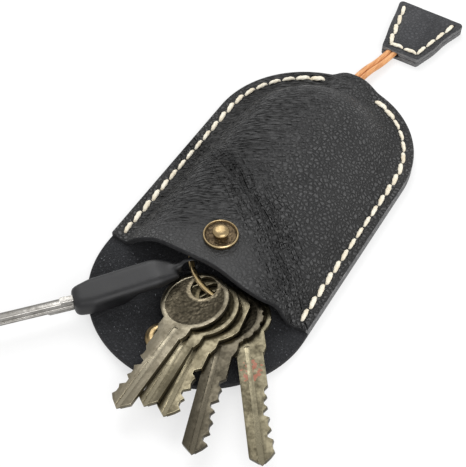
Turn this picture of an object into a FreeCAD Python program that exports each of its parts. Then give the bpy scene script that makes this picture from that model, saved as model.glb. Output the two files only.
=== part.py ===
import FreeCAD
import Part
import math
import os
from FreeCAD import Vector, Placement, Rotation

# A sewn leather key case: a back panel with a closing flap, a domed front panel, a snap,
# and a split ring of keys on a lace that a leather tab pulls up into the case.
# Millimetres. Origin on the back face at the middle of the mouth, +Y to the lace, +Z up.

# Leather body
case_half_width = 34.4
arch_centre_y = 65.0
back_thickness = 2.0
front_thickness = 1.8
fold_line_y = -6.0
fold_gap = 0.3
flap_centre_y = -2.0

# Domed front: a flat sewn rim, a rise of two tangent arcs and a flat crown
dome_rise = 12.2
mouth_rim_width = 4.1
mouth_foot_radius = 4.2
mouth_crown_radius = 11.2
mouth_wall_deg = 64.5
arch_rim_width = 4.8
arch_foot_radius = 8.0
arch_crown_radius = 17.0
arch_wall_deg = 46.0
mouth_tongue = 3.0
cut_margin = 1.0

# Sewing
stitch_inset = 3.4
stitch_start_y = 1.6
stitches_per_side = 20
left_pitch = 5.1
right_pitch = 5.1
thread_width = 1.15
thread_height = 0.75
leg_width = 0.8
hole_clearance = 0.06
thread_back_share = 0.6
run_trim = 0.16
leg_in_back = 0.45
leg_in_front = 0.26
groove_depth = 0.95
groove_width = 1.7
groove_overrun = 1.2
groove_overrun_deg = 2.0

# Lace outlet at the top of the arch
outlet_x = -2.2
outlet_half_width = 5.6
outlet_height = 2.9
outlet_length = 15.0
hump_wall_share = 0.8

# Snap
stud_y = 8.0
snap_radius = 5.3
post_radius = 2.3
post_height = 3.3
stud_floor = 0.6
stud_rim_height = 1.5
stud_floor_share = 0.74
# Sections of the stud's rim and post, as shares of their radius and height
stud_rim_form = ((1.0, 0.0), (1.008, 0.43), (0.96, 0.87), (0.894, 1.0), (0.82, 0.8))
post_form = ((0.78, 0.45), (1.0, 0.62), (0.92, 0.82), (0.55, 0.97), (0.0, 1.0))
post_foot_share = 0.8
shank_radius = 1.7
eyelet_radius = 4.0
eyelet_thickness = 0.6
eyelet_chamfer = 0.24
socket_from_fold = 17.7
socket_height = 1.5
socket_wall = 0.7
socket_plate = 0.4
socket_bore_margin = 0.4
socket_shoulder = 0.5
socket_step_share = 0.45
socket_lip_play = 0.3
spring_room = 0.25
spring_play = 0.1
spring_wire = 0.6
spring_gap_deg = 40.0
cap_lap = 0.15
cap_radius = snap_radius + cap_lap
cap_height = 0.8
cap_form = ((0.0, 1.0), (0.5, 0.93), (0.8, 0.7), (0.97, 0.35), (1.0, 0.0))
rivet_proud = 0.5
press_clearance = 0.05

# Split ring: a flat wire wound almost twice, leaning so that its left side is high
ring_x = 5.5
ring_y = 7.0
ring_z = 7.25
ring_radius = 13.5
ring_lean_deg = 17.7
ring_high_azimuth = 195.0
wire_width = 1.3
wire_height = 0.5
wire_pitch = 0.55
wire_turns = 1.9
wire_end_deg = 35.0

# House keys
key_thickness = 1.35
key_tilt_deg = 12.0
key_tilt_heading = 12.0
bow_radius = 10.0
bow_drop = 5.0
key_hole_radius = 4.0
bow_recess = 0.2
bow_fields = {"round": 8.8, "flatted": 7.9, "knurled": 8.2, "square": 6.5}
flatted_share = 1.8
square_share = 1.5
square_corner_share = 0.45
knurl_count = 18
knurl_radius = 1.0
knurl_stand_off = 0.55
neck_width = 9.6
neck_drop = 16.6
neck_lap = 2.0
neck_step = 0.8
blade_drop = 18.4
blade_width = 7.4
groove_blade_width = 1.5
groove_blade_shift = 0.6
groove_run_up = 4.0
groove_blade_depth = 0.35
tooth_pitch = 3.4
tooth_flat = 1.3
peak_share = 0.5
first_tooth = 3.2
# Tip of a blade: (share of the half width, distance from the very end)
blade_tip = ((-1.0, 2.7), (-0.15, 0.0), (0.5, 1.8), (0.85, 3.2))
house_keys = [
    ("house_key_1", 260.0, -1.3, 44.5, -1, "round", (1.2, 2.1, 1.5, 2.4, 0.9)),
    ("house_key_2", 273.0, 2.8, 40.0, -1, "round", (2.0, 1.1, 2.3, 1.4)),
    ("house_key_3", 286.0, 8.8, 40.5, 1, "flatted", (1.6, 2.4, 0.9, 1.8)),
    ("house_key_4", 299.0, 18.9, 49.5, 1, "knurled", (2.2, 1.3, 1.9, 2.5, 1.0, 1.6)),
    ("house_key_5", 312.0, 36.7, 53.0, 1, "square", (0.9, 1.9, 1.3, 2.2, 1.7, 1.2)),
]

# Car key, standing on edge
car_azimuth = 225.5
car_swing_deg = -42.0
lug_thickness = 1.5
lug_hole_radius = 2.25
lug_radius = 2.7
grip_start = 4.0
grip_length = 30.5
grip_width = 8.0
grip_neck_width = 6.0
grip_neck_half = 1.3
grip_crest = 1.7
grip_end_top = -1.4
grip_end_bottom = -6.9
grip_step_start = 16.5
grip_step_end = 20.5
grip_step_drop = 5.0
grip_round = 1.1
grip_crest_at = 10.0
grip_nose_length = 5.0
grip_nose_share = 0.72
grip_edge_least = 2.75
web_lap = 3.0
car_blade_thickness = 2.1
car_blade_height = 4.8
car_blade_length = 27.0
car_blade_root = 6.0
car_blade_drop = 4.1
car_tang_height = 3.0
lug_web_height = 3.0
car_groove_depth = 0.45
car_groove_height = 1.6
# Collar and nose of the blade: distances past the grip, and shares of half the blade's height
blade_collar_low, blade_collar_high = 8.0, 4.4
blade_collar_edge = 2.2
blade_step = 0.6
blade_slim_share = 0.72
blade_collar_share = 0.94
blade_nose_length, blade_nose_share = 2.2, 0.25

# Pull tab and lace
tab_x = 6.6
tab_y = 120.8
tab_length = 26.7
tab_narrow = 14.9
tab_wide = 26.5
tab_layer = 1.9
tab_corner = 1.6
tab_groove_depth = 0.8
tab_turn_deg = -1.5
tab_stitch_inset = 2.6
tab_side_stitches = 4
tab_end_stitches = 2
trench_overrun = 1.0
lace_diameter = 1.9
lace_spread = 1.05
lace_z = 3.15
lace_clearance = 0.1
lace_azimuth = 95.0
lace_entry_x = -2.6
lace_entry_length = 9.0
lace_end_gap = 0.3
lace_bend_out = 5.0
lace_play = 1.05
# Where the pair of strands lies in the case and its outlet: (x, y, rise above lace_z)
lace_bends = ((-1.7, 105.0, 0.15), (-1.5, 84.0, 0.0), (1.1, 57.0, 0.15), (3.0, 37.0, 0.1))
# Each strand's last bend before the ring: (x from the ring's top, y from it, gap to the turn's level)
high_bend = (-0.35, 9.0, 0.9)
low_bend = (0.35, 8.0, 0.2)
bend_share = 0.45

# Worked out from the above
mouth_rim_inner = case_half_width - mouth_rim_width
arch_rim_inner = case_half_width - arch_rim_width
stitch_radius = case_half_width - stitch_inset
flap_lift_deg = math.degrees(math.atan2(cap_height, socket_from_fold - cap_radius / 2))
seam_top = back_thickness + front_thickness
crown_top = seam_top + dome_rise
ring_centre = Vector(ring_x, ring_y, ring_z)
deg = math.radians


def cylinder(radius, height, base, axis=Vector(0, 0, 1)):
    return Part.makeCylinder(radius, height, base, axis)


def extrude_outline(edges, height, base_z):
    face = Part.Face(Part.Wire(edges))
    solid = face.extrude(Vector(0, 0, height))
    solid.translate(Vector(0, 0, base_z))
    return solid


def polygon_solid(points, height, base_z):
    corners = [Vector(x, y, 0) for x, y in points]
    return extrude_outline(Part.makePolygon(corners + corners[:1]).Edges, height, base_z)


def line(a, b):
    return Part.LineSegment(a, b).toShape()


def arc(a, b, c):
    return Part.Arc(a, b, c).toShape()


def arch_plate(radius, low_y, thickness, base_z):
    # A straight-sided plate with a half-round top
    left, right = Vector(-radius, arch_centre_y, 0), Vector(radius, arch_centre_y, 0)
    top = Vector(0, arch_centre_y + radius, 0)
    low_left, low_right = Vector(-radius, low_y, 0), Vector(radius, low_y, 0)
    edges = [line(low_left, low_right), line(low_right, right), arc(right, top, left), line(left, low_left)]
    return extrude_outline(edges, thickness, base_z)


def dome_points(rim_inner, foot_radius, crown_radius, wall_deg, offset):
    # Half of the dome's section from the crown out to the edge; offset 0 is the lining, else outside
    wall = deg(wall_deg)
    foot, crown = foot_radius - offset, crown_radius + offset
    straight = (dome_rise - (foot_radius + crown_radius) * (1 - math.cos(wall))) / math.sin(wall)
    floor = back_thickness + offset
    foot_centre = (rim_inner, floor + foot)
    foot_end = (foot_centre[0] - foot * math.sin(wall), foot_centre[1] - foot * math.cos(wall))
    crown_start = (foot_end[0] - straight * math.cos(wall), foot_end[1] + straight * math.sin(wall))
    crown_centre = (crown_start[0] - crown * math.sin(wall), crown_start[1] - crown * math.cos(wall))
    half = wall / 2
    foot_mid = (foot_centre[0] - foot * math.sin(half), foot_centre[1] - foot * math.cos(half))
    crown_mid = (crown_centre[0] + crown * math.sin(half), crown_centre[1] + crown * math.cos(half))
    crown_top_point = (crown_centre[0], crown_centre[1] + crown)
    return crown_top_point, crown_mid, crown_start, foot_end, foot_mid, (rim_inner, floor)


def half_section(shape, place):
    # Closed half of the dome wall, from the centre line to the outer edge
    outer = [place(r, z) for r, z in dome_points(*shape, front_thickness)]
    inner = [place(r, z) for r, z in dome_points(*shape, 0.0)]
    centre_out, centre_in = place(0, crown_top), place(0, crown_top - front_thickness)
    edge_out, edge_in = place(case_half_width, seam_top), place(case_half_width, back_thickness)
    edges = [line(centre_out, outer[0]), arc(outer[0], outer[1], outer[2]), line(outer[2], outer[3])]
    edges += [arc(outer[3], outer[4], outer[5]), line(outer[5], edge_out), line(edge_out, edge_in)]
    edges += [line(edge_in, inner[5]), arc(inner[5], inner[4], inner[3]), line(inner[3], inner[2])]
    edges += [arc(inner[2], inner[1], inner[0]), line(inner[0], centre_in), line(centre_in, centre_out)]
    return Part.Wire(edges)


mouth_shape = (mouth_rim_inner, mouth_foot_radius, mouth_crown_radius, mouth_wall_deg)
arch_shape = (arch_rim_inner, arch_foot_radius, arch_crown_radius, arch_wall_deg)


def dome_shell():
    low_y = -mouth_tongue - cut_margin
    halves = []
    for side in (1, -1):
        low = half_section(mouth_shape, lambda r, z: Vector(side * r, low_y, z))
        high = half_section(arch_shape, lambda r, z: Vector(side * r, arch_centre_y, z))
        halves.append(Part.makeLoft([low, high], True, True))
    section = half_section(arch_shape, lambda r, z: Vector(r, arch_centre_y, z))
    arch = Part.Face(section).revolve(Vector(0, arch_centre_y, 0), Vector(0, 0, 1), 180)
    return halves[0].fuse([halves[1], arch]).removeSplitter()


def mouth_cutter():
    # Below the gently convex edge of the mouth
    reach = case_half_width + cut_margin
    left, right, middle = Vector(-reach, 0, 0), Vector(reach, 0, 0), Vector(0, -mouth_tongue, 0)
    low_left, low_right = Vector(-reach, -reach, 0), Vector(reach, -reach, 0)
    edges = [arc(left, middle, right), line(right, low_right)]
    edges += [line(low_right, low_left), line(low_left, left)]
    return extrude_outline(edges, crown_top + cut_margin, 0)


def outlet_arch(half_width, height, base_z):
    # Low arched tunnel section along the lace
    low_y = arch_centre_y + case_half_width - outlet_length
    points = [Vector(outlet_x + x, low_y, z) for x, z in
              ((-half_width, base_z), (0, base_z + height), (half_width, base_z))]
    face = Part.Face(Part.Wire([arc(*points), line(points[2], points[0])]))
    return face.extrude(Vector(0, outlet_length + cut_margin, 0))


def seam_points(side, pitch):
    # Stitch holes from the mouth up one side and round the arch
    points = []
    straight = arch_centre_y - stitch_start_y
    for i in range(stitches_per_side + 1):
        run = i * pitch
        if run <= straight:
            points.append(Vector(side * stitch_radius, stitch_start_y + run, 0))
        else:
            turn = (run - straight) / stitch_radius
            points.append(Vector(side * stitch_radius * math.cos(turn),
                                 arch_centre_y + stitch_radius * math.sin(turn), 0))
    return points


def upright_bar(a, b, base_z, height, width, trim):
    # A thread lying between two holes, with a rounded back
    along = b - a
    length = along.Length - 2 * trim
    half = width / 2
    low, high = min(base_z, base_z + height), max(base_z, base_z + height)
    tip = high if height > 0 else low
    root = low if height > 0 else high
    back = half * thread_back_share
    section = [Vector(trim, y, z) for y, z in ((-half, root), (-back, tip), (back, tip), (half, root))]
    bar = Part.Face(Part.makePolygon(section + section[:1])).extrude(Vector(length, 0, 0))
    turn = math.degrees(math.atan2(along.y, along.x))
    bar.Placement = Placement(Vector(a.x, a.y, 0), Rotation(Vector(0, 0, 1), turn))
    return bar


def square_leg(point, turn, width, low_z, high_z):
    leg = Part.makeBox(width, width, high_z - low_z, Vector(-width / 2, -width / 2, low_z))
    leg.Placement = Placement(Vector(point.x, point.y, 0), Rotation(Vector(0, 0, 1), turn))
    return leg


def hole_turns(points):
    turns = []
    for i in range(len(points)):
        before, after = points[max(0, i - 1)], points[min(len(points) - 1, i + 1)]
        turns.append(math.degrees(math.atan2(after.y - before.y, after.x - before.x)))
    return turns


def saddle_thread(points, top_z, bottom_z):
    # One thread through every hole, with a run on both faces between neighbouring holes
    turns = hole_turns(points)
    low_z, high_z = bottom_z - leg_in_back, top_z + leg_in_front
    legs = [square_leg(p, t, leg_width, low_z, high_z) for p, t in zip(points, turns)]
    runs = []
    for a, b in zip(points[:-1], points[1:]):
        runs.append(upright_bar(a, b, top_z, thread_height, thread_width, run_trim))
        runs.append(upright_bar(a, b, bottom_z, -thread_height, thread_width, run_trim))
    return legs[0].fuse(legs[1:] + runs)


def awl_holes(points, low_z, high_z):
    width = leg_width + 2 * hole_clearance
    return [square_leg(p, t, width, low_z, high_z) for p, t in zip(points, hole_turns(points))]


def seam_groove(side, points):
    # Stitching groove on the back, so that the thread lies below the surface
    half = groove_width / 2
    end = points[-1]
    sweep = math.degrees(math.atan2(end.y - arch_centre_y, side * end.x)) + groove_overrun_deg
    start_y = stitch_start_y - groove_overrun
    box = Part.makeBox(groove_width, arch_centre_y - start_y, groove_depth,
                       Vector(side * stitch_radius - half, start_y, 0))
    ring = cylinder(stitch_radius + half, groove_depth, Vector(0, arch_centre_y, 0))
    ring = ring.cut(cylinder(stitch_radius - half, groove_depth, Vector(0, arch_centre_y, 0)))
    reach = 2 * case_half_width
    ends = [Vector(side * reach * math.cos(deg(t)), reach * math.sin(deg(t)), 0)
            for t in (0, sweep / 2, sweep)]
    wedge = Part.Face(Part.makePolygon([Vector()] + ends + [Vector()])).extrude(Vector(0, 0, groove_depth))
    wedge.translate(Vector(0, arch_centre_y, 0))
    return box.fuse(ring.common(wedge))


left_holes = seam_points(-1, left_pitch)
right_holes = seam_points(1, right_pitch)


def make_back_panel():
    panel = arch_plate(case_half_width, fold_line_y, back_thickness, 0)
    cuts = [seam_groove(-1, left_holes), seam_groove(1, right_holes)]
    cuts += awl_holes(left_holes, 0, back_thickness) + awl_holes(right_holes, 0, back_thickness)
    return panel.cut(cuts)


def make_front_panel():
    dome = dome_shell().cut(mouth_cutter())
    hump_half_width = outlet_half_width + front_thickness * hump_wall_share
    outside = outlet_arch(hump_half_width, outlet_height + front_thickness, back_thickness)
    limits = arch_plate(case_half_width, fold_line_y, crown_top, back_thickness)
    lining = dome_lining()
    dome = dome.fuse(outside.common(limits).cut(lining))
    dome = dome.cut(outlet_arch(outlet_half_width, outlet_height, back_thickness))
    holes = awl_holes(left_holes, back_thickness, seam_top)
    holes += awl_holes(right_holes, back_thickness, seam_top)
    holes.append(cylinder(shank_radius + press_clearance, crown_top, Vector(0, stud_y, 0)))
    return dome.cut(holes).removeSplitter()


def dome_lining():
    # The space under the dome's arch, kept clear of the outlet's hump
    inner = [Vector(r, arch_centre_y, z) for r, z in dome_points(*arch_shape, 0.0)]
    centre, base = Vector(0, arch_centre_y, crown_top - front_thickness), Vector(0, arch_centre_y, 0)
    foot = Vector(arch_rim_inner, arch_centre_y, 0)
    edges = [line(centre, inner[0]), arc(inner[0], inner[1], inner[2]), line(inner[2], inner[3])]
    edges += [arc(inner[3], inner[4], inner[5]), line(inner[5], foot), line(foot, base), line(base, centre)]
    return Part.Face(Part.Wire(edges)).revolve(Vector(0, arch_centre_y, 0), Vector(0, 0, 1), 180)


def lift_flap(shape):
    shape.rotate(Vector(0, fold_line_y, 0), Vector(1, 0, 0), -flap_lift_deg)
    return shape


socket_y = fold_line_y - socket_from_fold


def make_closing_flap():
    # Round lower end of the back panel's leather, beyond the fold
    start = fold_line_y - fold_gap
    half_angle = math.asin((start - flap_centre_y) / case_half_width)
    edge_x = case_half_width * math.cos(half_angle)
    left, right = Vector(-edge_x, start, 0), Vector(edge_x, start, 0)
    low = Vector(0, flap_centre_y - case_half_width, 0)
    flap = extrude_outline([line(left, right), arc(right, low, left)], back_thickness, 0)
    rivet_hole = cylinder(shank_radius + press_clearance, back_thickness, Vector(0, socket_y, 0))
    return lift_flap(flap.cut(rivet_hole))


def revolve_profile(points, x, y, z):
    corners = [Vector(x + r, y, z + h) for r, h in points]
    face = Part.Face(Part.makePolygon(corners + corners[:1]))
    return face.revolve(Vector(x, y, z), Vector(0, 0, 1), 360)


def make_snap_stud():
    # Rolled rim, dished floor and a round-headed post
    profile = [(0, 0)] + [(snap_radius * a, stud_rim_height * b) for a, b in stud_rim_form]
    profile += [(snap_radius * stud_floor_share, stud_floor), (post_radius * post_foot_share, stud_floor)]
    profile += [(post_radius * a, post_height * b) for a, b in post_form]
    return revolve_profile(profile, 0, stud_y, crown_top)


def make_stud_eyelet():
    # Washer under the leather with the shank that holds the stud
    base = crown_top - front_thickness
    flange = cylinder(eyelet_radius, eyelet_thickness, Vector(0, stud_y, base - eyelet_thickness))
    low_edges = [e for e in flange.Edges if e.BoundBox.ZMax < base - eyelet_thickness / 2]
    flange = flange.makeChamfer(eyelet_chamfer, low_edges)
    return flange.fuse(cylinder(shank_radius, front_thickness, Vector(0, stud_y, base)))


def make_snap_socket():
    # Cup with an inner lip that keeps the spring in
    inner = post_radius + spring_wire + spring_room
    lip = post_radius + socket_lip_play
    bore = shank_radius + socket_bore_margin
    lip_low = socket_height - socket_plate
    profile = [(bore, 0), (snap_radius, 0), (snap_radius, socket_height * socket_step_share)]
    profile += [(inner + socket_wall + socket_shoulder, socket_height), (lip, socket_height)]
    profile += [(lip, lip_low), (inner, lip_low), (inner, socket_plate), (bore, socket_plate)]
    return lift_flap(revolve_profile(profile, 0, socket_y, back_thickness))


def make_socket_spring():
    # Open wire ring that grips the stud's head, its gap towards the flap's end
    radius = post_radius + spring_wire / 2 + spring_play
    middle = Vector(radius, socket_y, back_thickness + socket_height / 2)
    circle = Part.Face(Part.Wire(Part.makeCircle(spring_wire / 2, middle, Vector(0, 1, 0))))
    spring = circle.revolve(Vector(0, socket_y, 0), Vector(0, 0, 1), 360 - spring_gap_deg)
    spring.rotate(Vector(0, socket_y, 0), Vector(0, 0, 1), 270 + spring_gap_deg / 2)
    return lift_flap(spring)


def make_snap_cap():
    # Low domed cap on the outside of the flap, riveted through it
    rivet_top = back_thickness + rivet_proud
    profile = [(cap_radius * a, -cap_height * b) for a, b in cap_form]
    profile += [(shank_radius, 0), (shank_radius, rivet_top), (0, rivet_top)]
    return lift_flap(revolve_profile(profile, 0, socket_y, 0))


# The ring's own frame: its normal leans away from its high side
high_way = Vector(math.cos(deg(ring_high_azimuth)), math.sin(deg(ring_high_azimuth)), 0)
lean_axis = high_way.cross(Vector(0, 0, 1))
ring_rotation = Rotation(lean_axis, ring_lean_deg)


def ring_point(azimuth):
    # The wire's middle above a given azimuth seen from the top
    way = Vector(math.cos(deg(azimuth)), math.sin(deg(azimuth)), 0)
    rise = math.sin(deg(ring_lean_deg)) * math.cos(deg(azimuth - ring_high_azimuth))
    return ring_centre + way * ring_radius + Vector(0, 0, ring_radius * rise)


def make_split_ring():
    climb = wire_pitch * wire_turns
    helix = Part.makeHelix(wire_pitch, climb, ring_radius)
    half_w, half_h = wire_width / 2, wire_height / 2
    section = [Vector(ring_radius + x, 0, z) for x, z in
               ((-half_w, -half_h), (half_w, -half_h), (half_w, half_h), (-half_w, half_h))]
    profile = Part.makePolygon(section + section[:1])
    ring = Part.Wire(helix.Edges).makePipeShell([profile], True, True)
    ring.translate(Vector(0, 0, -climb / 2))
    ring.rotate(Vector(), Vector(0, 0, 1), wire_end_deg)
    ring.Placement = Placement(ring_centre, ring_rotation).multiply(ring.Placement)
    return ring


def bow_solid(kind):
    # Flat head of a key about its hole, blade towards -Y
    centre = Vector(0, -bow_drop, -key_thickness / 2)
    bow = cylinder(bow_radius, key_thickness, centre)
    if kind == "flatted":
        width, reach = bow_radius * flatted_share, 2 * bow_radius
        corner = centre - Vector(width / 2, bow_radius, 0)
        return bow.common(Part.makeBox(width, reach, key_thickness, corner))
    if kind == "square":
        side = bow_radius * square_share
        block = Part.makeBox(side, side, key_thickness, centre - Vector(side / 2, side / 2, 0))
        uprights = [e for e in block.Edges if abs(e.Vertexes[0].Z - e.Vertexes[1].Z) > key_thickness / 2]
        return block.makeFillet(side * square_corner_share, uprights)
    if kind == "knurled":
        bites = []
        for i in range(knurl_count):
            turn = deg(360.0 * i / knurl_count)
            spot = centre + Vector(math.sin(turn), math.cos(turn), 0) * (bow_radius + knurl_stand_off)
            bites.append(cylinder(knurl_radius, key_thickness, spot))
        bow = bow.cut(bites)
    return bow


def blade_outline(tip_drop, side, cuts):
    # Blade with a pointed tip and notches of different depths along one edge
    half = blade_width / 2
    points = [(-half, -neck_drop + neck_lap)] + [(half * a, b - tip_drop) for a, b in blade_tip]
    y = first_tooth - tip_drop
    for depth, following in zip(cuts, cuts[1:] + (0.0,)):
        middle = y + tooth_pitch / 2
        points += [(half - depth, middle - tooth_flat / 2), (half - depth, middle + tooth_flat / 2)]
        points.append((half - peak_share * min(depth, following), y + tooth_pitch))
        y += tooth_pitch
    points.append((half, -neck_drop + neck_lap))
    return [(side * x, y) for x, y in points]


def make_house_key(tip_drop, side, kind, cuts):
    low = -key_thickness / 2
    half_neck, neck_top = neck_width / 2, -bow_drop - bow_radius / 2
    half_step = half_neck - neck_step
    neck = polygon_solid([(-half_neck, neck_top), (-half_neck, -neck_drop), (-half_step, -blade_drop),
                          (half_step, -blade_drop), (half_neck, -neck_drop), (half_neck, neck_top)],
                         key_thickness, low)
    blade = polygon_solid(blade_outline(tip_drop, side, cuts), key_thickness, low)
    key = bow_solid(kind).fuse([neck, blade]).removeSplitter()
    removals = [cylinder(key_hole_radius, key_thickness, Vector(0, 0, low))]
    groove_x = -side * groove_blade_shift - groove_blade_width / 2
    groove_length = tip_drop - blade_drop + groove_run_up
    high = key_thickness / 2
    for floor, groove_floor in ((high - bow_recess, high - groove_blade_depth), (low, low)):
        removals.append(cylinder(bow_fields[kind], bow_recess, Vector(0, -bow_drop, floor)))
        corner = Vector(groove_x, -tip_drop - cut_margin, groove_floor)
        removals.append(Part.makeBox(groove_blade_width, groove_length, groove_blade_depth, corner))
    return key.cut(removals)


tilt_axis = Vector(math.sin(deg(key_tilt_heading)), -math.cos(deg(key_tilt_heading)), 0)
key_tilt = Rotation(tilt_axis, key_tilt_deg)


def place_key(shape, azimuth, swing):
    # Keys lie in parallel tilted planes, each turned in its plane about its hole
    spin = Rotation(Vector(0, 0, 1), swing)
    shape.Placement = Placement(ring_point(azimuth), key_tilt.multiply(spin))
    return shape


def place_car_key(shape):
    shape.Placement = Placement(ring_point(car_azimuth), Rotation(Vector(0, 0, 1), car_swing_deg))
    return shape


grip_end = -grip_start - grip_length


def make_car_grip():
    # Moulded grip: a thin neck by the eye, then a deeper body, rounded in plan and along its edges
    side_view = [(-grip_start, grip_neck_half), (-grip_crest_at, grip_crest), (grip_end, grip_end_top),
                 (grip_end, grip_end_bottom), (-grip_step_end, -grip_step_drop),
                 (-grip_step_start, -grip_crest), (-grip_start, -grip_neck_half)]
    neck, half = grip_neck_width / 2, grip_width / 2
    corners = [Vector(-half, y, z) for y, z in side_view]
    body = Part.Face(Part.makePolygon(corners + corners[:1])).extrude(Vector(grip_width, 0, 0))
    nose_y, nose = grip_end + grip_nose_length, half * grip_nose_share
    plan = [(-neck, -grip_start), (-half, -grip_crest_at), (-half, nose_y), (-nose, grip_end),
            (nose, grip_end), (half, nose_y), (half, -grip_crest_at), (neck, -grip_start)]
    body = body.common(polygon_solid(plan, grip_crest - grip_end_bottom, grip_end_bottom))
    body = body.removeSplitter()
    body = body.makeFillet(grip_round, [e for e in body.Edges if e.Length > grip_edge_least])
    across = Vector(1, 0, 0)
    lug = cylinder(lug_radius, lug_thickness, Vector(-lug_thickness / 2, 0, 0), across)
    web = Part.makeBox(lug_thickness, grip_start + web_lap, lug_web_height,
                       Vector(-lug_thickness / 2, -grip_start - web_lap, -lug_web_height / 2))
    eye = cylinder(lug_hole_radius, grip_width, Vector(-half, 0, 0), across)
    slot_corner = Vector(-car_blade_thickness / 2, grip_end, -car_blade_drop - car_tang_height / 2)
    slot = Part.makeBox(car_blade_thickness, car_blade_root, car_tang_height, slot_corner)
    return place_car_key(body.fuse([lug, web]).cut([eye, slot]).removeSplitter())


def make_car_blade():
    # Tang in the grip, a collar past it, then a slim blade with a groove on both faces
    half, tang = car_blade_height / 2, car_tang_height / 2
    slim, collar, nose = half * blade_slim_share, half * blade_collar_share, half * blade_nose_share
    tip, root = grip_end - car_blade_length, grip_end + car_blade_root
    low_y, high_y = grip_end - blade_collar_low, grip_end - blade_collar_high
    edge_y = grip_end - blade_collar_edge
    outline = [(grip_end, collar), (grip_end, tang), (root, tang), (root, -tang), (grip_end, -tang),
               (grip_end, -half), (low_y, -half), (low_y - blade_step, -slim),
               (tip + blade_nose_length, -slim), (tip, -nose), (tip, nose), (tip + blade_nose_length, slim),
               (high_y, slim), (high_y, half), (edge_y, half), (edge_y, collar)]
    corners = [Vector(-car_blade_thickness / 2, y, z - car_blade_drop) for y, z in outline]
    blade = Part.Face(Part.makePolygon(corners + corners[:1])).extrude(Vector(car_blade_thickness, 0, 0))
    low_z = -car_blade_drop - car_groove_height / 2
    starts = [Vector(x, tip - cut_margin, low_z)
              for x in (-car_blade_thickness / 2, car_blade_thickness / 2 - car_groove_depth)]
    grooves = [Part.makeBox(car_groove_depth, car_blade_length, car_groove_height, start) for start in starts]
    return place_car_key(blade.cut(grooves))


def tab_frame(shape):
    shape.Placement = Placement(Vector(tab_x, tab_y, 0), Rotation(Vector(0, 0, 1), tab_turn_deg))
    return shape


def tab_point(x, y, z=0):
    return tab_frame(Part.Vertex(x, y, z)).Point


def trapezoid(inset):
    slope = (tab_wide - tab_narrow) / 2 / tab_length
    low, high = inset, tab_length - inset
    side = inset * math.sqrt(1 + slope * slope)
    half_low, half_high = (tab_narrow / 2 + slope * low - side), (tab_wide / 2 - slope * inset - side)
    return [(-half_high, high), (-half_low, low), (half_low, low), (half_high, high)]


def tab_holes():
    top_left, low_left, low_right, top_right = [Vector(x, y, 0) for x, y in trapezoid(tab_stitch_inset)]
    points = []
    for a, b, count in ((top_left, low_left, tab_side_stitches), (low_left, low_right, tab_end_stitches),
                        (low_right, top_right, tab_side_stitches)):
        points += [a + (b - a) * (i / count) for i in range(count)]
    return points + [top_right]


def lace_bores():
    bore = lace_diameter / 2 + lace_clearance
    mouths = [Vector(lace_entry_x + side * lace_spread, 0, tab_layer) for side in (-1, 1)]
    return [cylinder(bore, lace_entry_length, mouth, Vector(0, 1, 0)) for mouth in mouths]


def make_tab_layer(base_z):
    layer = polygon_solid(trapezoid(0), tab_layer, base_z)
    uprights = [e for e in layer.Edges if abs(e.Vertexes[0].Z - e.Vertexes[1].Z) > tab_layer / 2]
    layer = layer.makeFillet(tab_corner, uprights)
    cuts = lace_bores() + awl_holes(tab_holes(), base_z, base_z + tab_layer)
    if base_z == 0:
        points = tab_holes()
        for a, b in zip(points[:-1], points[1:]):
            way = (b - a).normalize()
            trench = Part.makeBox((b - a).Length + 2 * trench_overrun, groove_width, tab_groove_depth,
                                  Vector(-trench_overrun, -groove_width / 2, 0))
            trench.Placement = Placement(a, Rotation(Vector(1, 0, 0), way))
            cuts.append(trench)
    return tab_frame(layer.cut(cuts))


def make_tab_thread():
    return tab_frame(saddle_thread(tab_holes(), 2 * tab_layer, tab_groove_depth))


# Route of the lace: out of the tab, down the outlet, round the ring and back beside itself
ring_top = ring_point(lace_azimuth)
turn_radius = lace_diameter / 2 + lace_play
tab_inside = tab_point(lace_entry_x, lace_entry_length - lace_end_gap, tab_layer)
tab_mouth = tab_point(lace_entry_x, -lace_bend_out, tab_layer)
lace_middle = [tab_inside, tab_mouth] + [Vector(x, y, lace_z + rise) for x, y, rise in lace_bends]
high_turn = [ring_top + Vector(high_bend[0], high_bend[1], turn_radius - high_bend[2]),
             ring_top + Vector(0, -turn_radius, turn_radius)]
low_turn = [ring_top + Vector(0, -turn_radius, -turn_radius),
            ring_top + Vector(low_bend[0], low_bend[1], low_bend[2] - turn_radius)]
left_strand = [p + Vector(-lace_spread, 0, 0) for p in lace_middle]
right_strand = [p + Vector(lace_spread, 0, 0) for p in lace_middle]
lace_route = left_strand + high_turn + low_turn + right_strand[::-1]


def rounded_path(points):
    # Straight runs joined by tangent arcs as large as the runs allow
    edges = []
    radii = []
    start = points[0]
    for before, corner, after in zip(points[:-2], points[1:-1], points[2:]):
        run_in, run_out = corner - before, after - corner
        half_turn = run_in.getAngle(run_out) / 2
        reach = bend_share * min(run_in.Length, run_out.Length)
        radius = reach / math.tan(half_turn)
        into, out = run_in.normalize(), run_out.normalize()
        bisector = (out - into).normalize()
        first, last = corner - into * reach, corner + out * reach
        middle = corner + bisector * (radius / math.cos(half_turn) - radius)
        edges += [line(start, first), arc(first, middle, last)]
        radii.append(round(radius, 1))
        start = last
    edges.append(line(start, points[-1]))
    return Part.Wire(edges), radii


def make_pull_cord():
    path, radii = rounded_path(lace_route)
    way = (lace_route[1] - lace_route[0]).normalize()
    circle = Part.Wire(Part.makeCircle(lace_diameter / 2, lace_route[0], way))
    lace = path.makePipeShell([circle], True, False)
    print("lace length", round(path.Length, 1), "bend radii", radii)
    return lace


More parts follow.
